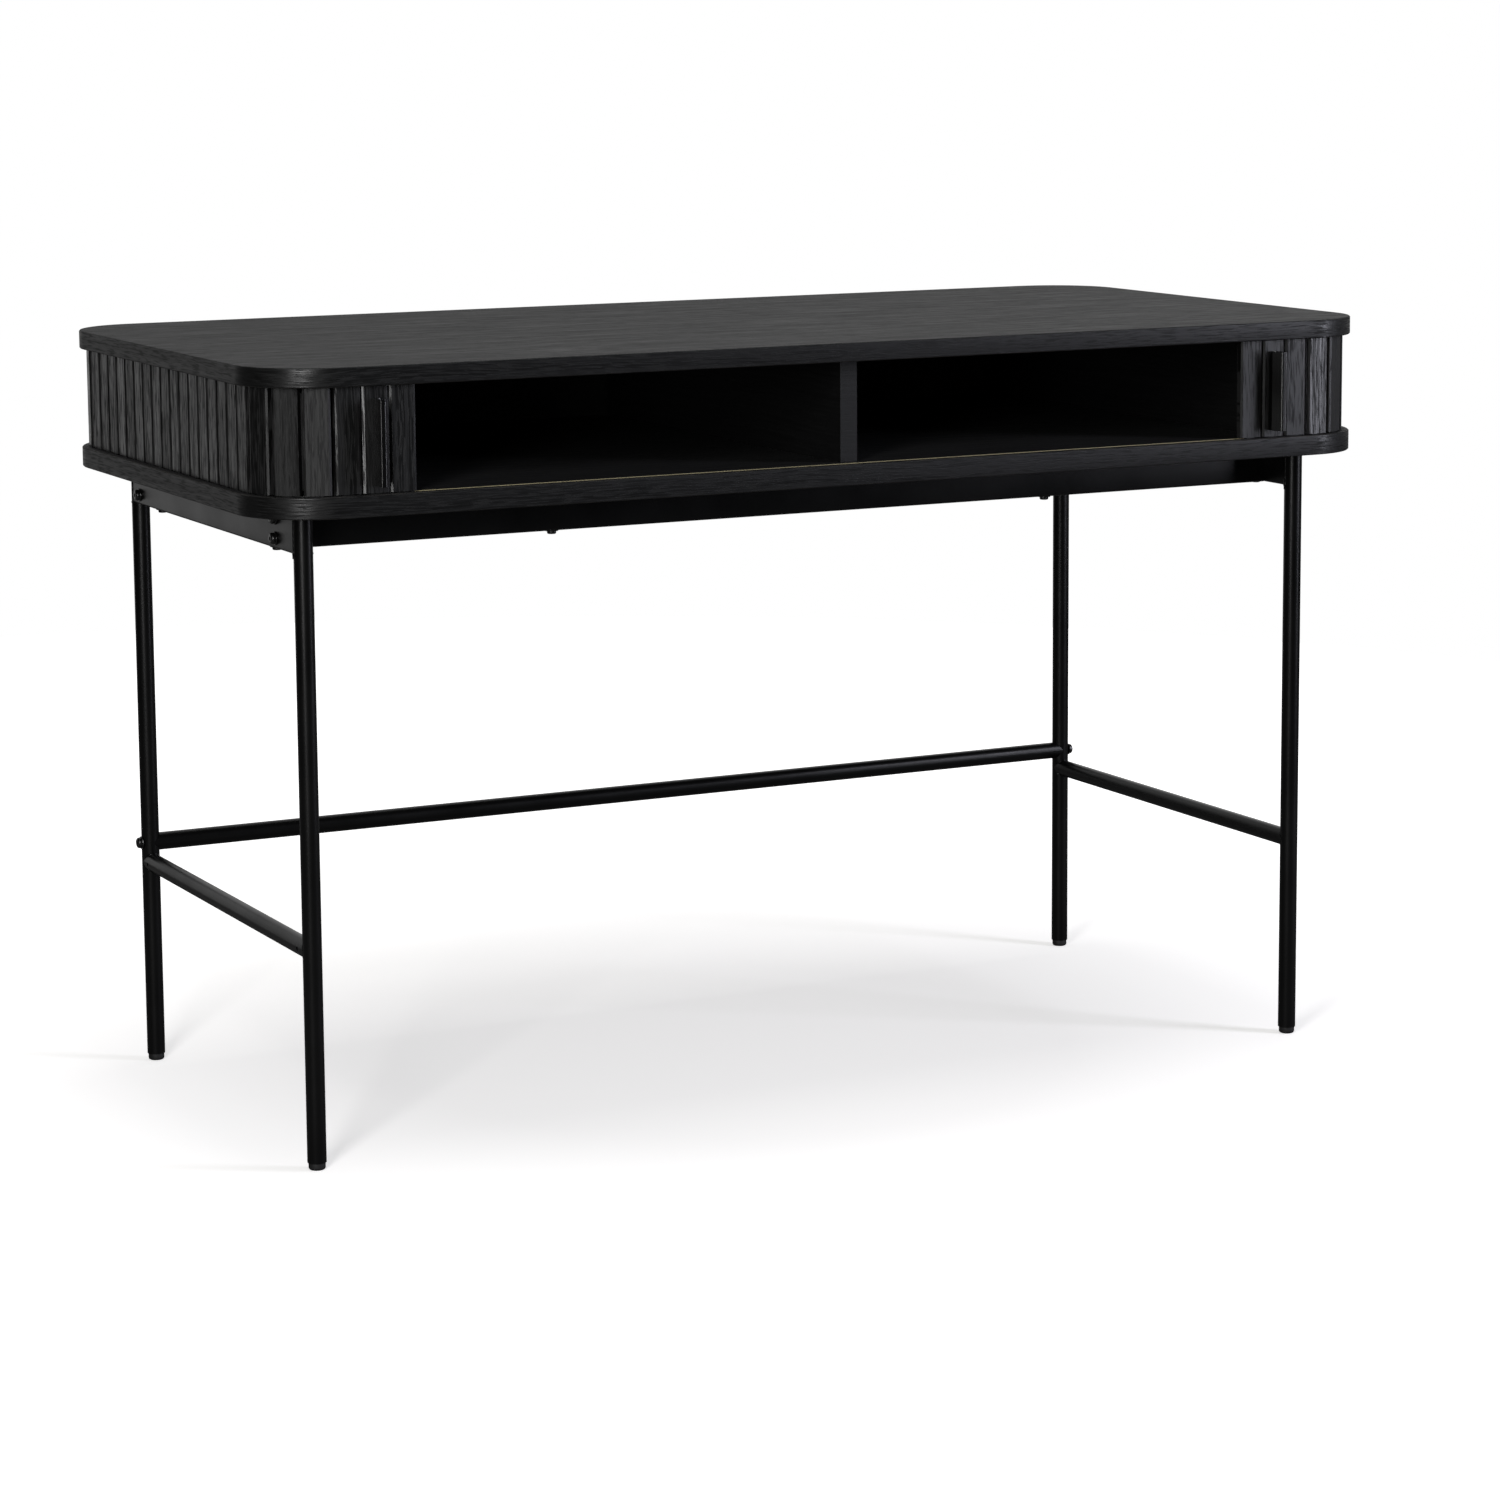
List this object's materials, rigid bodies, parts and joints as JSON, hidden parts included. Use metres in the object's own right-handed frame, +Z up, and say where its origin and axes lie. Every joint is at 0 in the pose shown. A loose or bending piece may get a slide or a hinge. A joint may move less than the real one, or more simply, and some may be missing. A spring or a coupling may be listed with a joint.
{
  "type": "tambour desk",
  "caption": "Black writing desk with a shallow open bay between rounded panels, slatted tambour doors that slide round the corners, and a slim round-tube frame on legs",
  "frame": {"origin": "on the floor, in the middle of the desk's width and depth", "axes": "+X to the right along the front, +Y to the back, +Z up"},
  "size_m": [1.195, 0.6038, 0.75],
  "materials": {
    "panel_oak": "black-stained oak veneer, satin",
    "slat_oak": "black-stained oak slats, satin",
    "inner_board": "black laminate, matt",
    "curtain_canvas": "black cotton canvas",
    "handle_metal": "black powder coat",
    "frame_paint": "black powder coat",
    "black_bolts": "black zinc",
    "foot_plastic": "black moulded",
    "dowel_beech": "plain beech",
    "insert_brass": "plain",
    "hidden_steel": "zinc plated"
  },
  "bodies": {
    "desk": {"back_panel": "inner_board", "bottom_panel": "panel_oak", "cam_bolts": "hidden_steel", "cam_locks": "hidden_steel", "case_dowels": "dowel_beech", "case_screws": "hidden_steel", "centre_divider": "inner_board", "front_rail": "frame_paint", "left_back_corner_slats": "slat_oak", "left_back_slats": "slat_oak", "left_corner_slats": "slat_oak", "left_curtain_canvas": "curtain_canvas", "left_front_foot": "foot_plastic", "left_front_leg": "frame_paint", "left_inner_panel": "inner_board", "left_rear_foot": "foot_plastic", "left_rear_leg": "frame_paint", "left_side_rail": "frame_paint", "left_side_slats": "slat_oak", "left_side_stretcher": "frame_paint", "panel_bolts": "black_bolts", "panel_washers": "black_bolts", "rail_bolts": "black_bolts", "rail_end_plates": "frame_paint", "rail_washers": "black_bolts", "rear_rail": "frame_paint", "rear_stretcher": "frame_paint", "right_back_corner_slats": "slat_oak", "right_back_slats": "slat_oak", "right_corner_slats": "slat_oak", "right_curtain_canvas": "curtain_canvas", "right_front_foot": "foot_plastic", "right_front_leg": "frame_paint", "right_inner_panel": "inner_board", "right_rear_foot": "foot_plastic", "right_rear_leg": "frame_paint", "right_side_rail": "frame_paint", "right_side_slats": "slat_oak", "right_side_stretcher": "frame_paint", "stretcher_bolts": "black_bolts", "stretcher_plugs": "frame_paint", "stretcher_washers": "black_bolts", "threaded_inserts": "insert_brass", "top_panel": "panel_oak"},
    "left_door": {"left_door_canvas": "curtain_canvas", "left_front_slats": "slat_oak", "left_handle": "handle_metal", "left_handle_screws": "black_bolts", "left_handle_slat": "slat_oak", "left_lead_slat": "slat_oak"},
    "right_door": {"right_door_canvas": "curtain_canvas", "right_front_slats": "slat_oak", "right_handle": "handle_metal", "right_handle_screws": "black_bolts", "right_handle_slat": "slat_oak", "right_lead_slat": "slat_oak"}
  },
  "joints": [
    {"name": "left_door_slide", "type": "slide", "parent": "desk", "child": "left_door", "axis": [1, 0, 0], "range_m": [0, 0.4498]},
    {"name": "right_door_slide", "type": "slide", "parent": "desk", "child": "right_door", "axis": [-1, 0, 0], "range_m": [0, 0.4355]}
  ]
}
